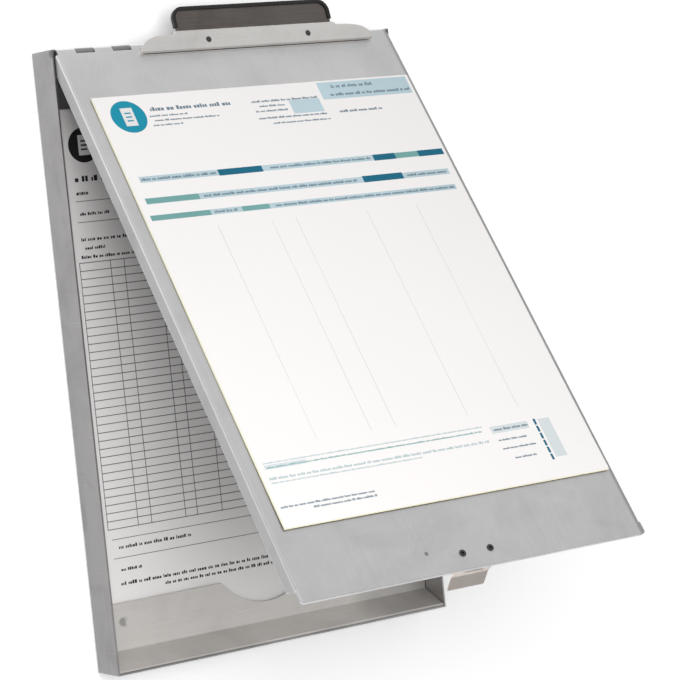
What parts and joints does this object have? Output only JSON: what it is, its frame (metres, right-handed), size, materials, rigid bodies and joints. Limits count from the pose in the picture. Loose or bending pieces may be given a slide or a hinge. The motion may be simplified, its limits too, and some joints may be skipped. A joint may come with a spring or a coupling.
{
  "type": "storage clipboard box",
  "caption": "Shallow aluminium form holder with a piano-hinged writing lid, a sprung paper clip at its head, a snap catch at its foot and forms held inside.",
  "frame": {"origin": "centre of the tray's flat back, on its outer face", "axes": "+X across the width, to the right of someone writing with the hinge away from them; +Y along the length towards the hinge and the paper clip; +Z out of the open front of the tray, away from its back"},
  "size_m": [0.23, 0.3749, 0.2224],
  "materials": {
    "tray_sheet": "mill finish, fine brushed grain",
    "retainer_sheet": "mill finish",
    "lid_sheet": "mill finish, fine brushed grain",
    "rivet_metal": "smooth",
    "dark_rivet": "dull plated",
    "pin_steel": "smooth drawn wire",
    "spring_steel": "drawn wire",
    "catch_steel": "satin spring strip",
    "clip_plate": "nickel plate over a pressed form",
    "lever_steel": "dull plated",
    "edging_vinyl": "satin black",
    "grip_rubber": "matt",
    "form_paper": "matt printed"
  },
  "bodies": {
    "tray": {"tray_pan": "tray_sheet", "form_retainer": "retainer_sheet", "retainer_rivets": "rivet_metal", "hinge_pin": "pin_steel", "stored_forms": "form_paper"},
    "lid": {"lid_panel": "lid_sheet", "writing_form": "form_paper", "catch_plate": "catch_steel", "catch_rivets": "dark_rivet", "catch_flush_rivet": "rivet_metal", "clip_base": "clip_plate", "clip_base_rivets": "rivet_metal", "clip_pin": "pin_steel"},
    "clip": {"clip_jaw": "clip_plate", "clip_lever": "lever_steel", "lever_edging": "edging_vinyl", "lever_rivets": "dark_rivet", "jaw_grip": "grip_rubber", "spring_left": "spring_steel", "spring_right": "spring_steel"},
    "catch": {"catch_arm": "catch_steel"}
  },
  "joints": [
    {"name": "lid_hinge", "type": "hinge", "parent": "tray", "child": "lid", "pos_m": [0, 0.1749, 0.0242], "axis": [-1, 0, 0], "range_deg": [-33.5, 48.5]},
    {"name": "clip_jaw", "type": "hinge", "parent": "lid", "child": "clip", "pos_m": [0.019, 0.17961, 0.02588], "axis": [-1, 0, 0], "range_deg": [0, 16], "stiffness_Nm_per_rad": 0.5, "springref_deg": -17.19},
    {"name": "catch_flex", "type": "hinge", "parent": "lid", "child": "catch", "pos_m": [0.002, -0.11887, 0.21912], "axis": [-1, 0, 0], "range_deg": [0, 12], "stiffness_Nm_per_rad": 0.12, "springref_deg": -5.73}
  ]
}
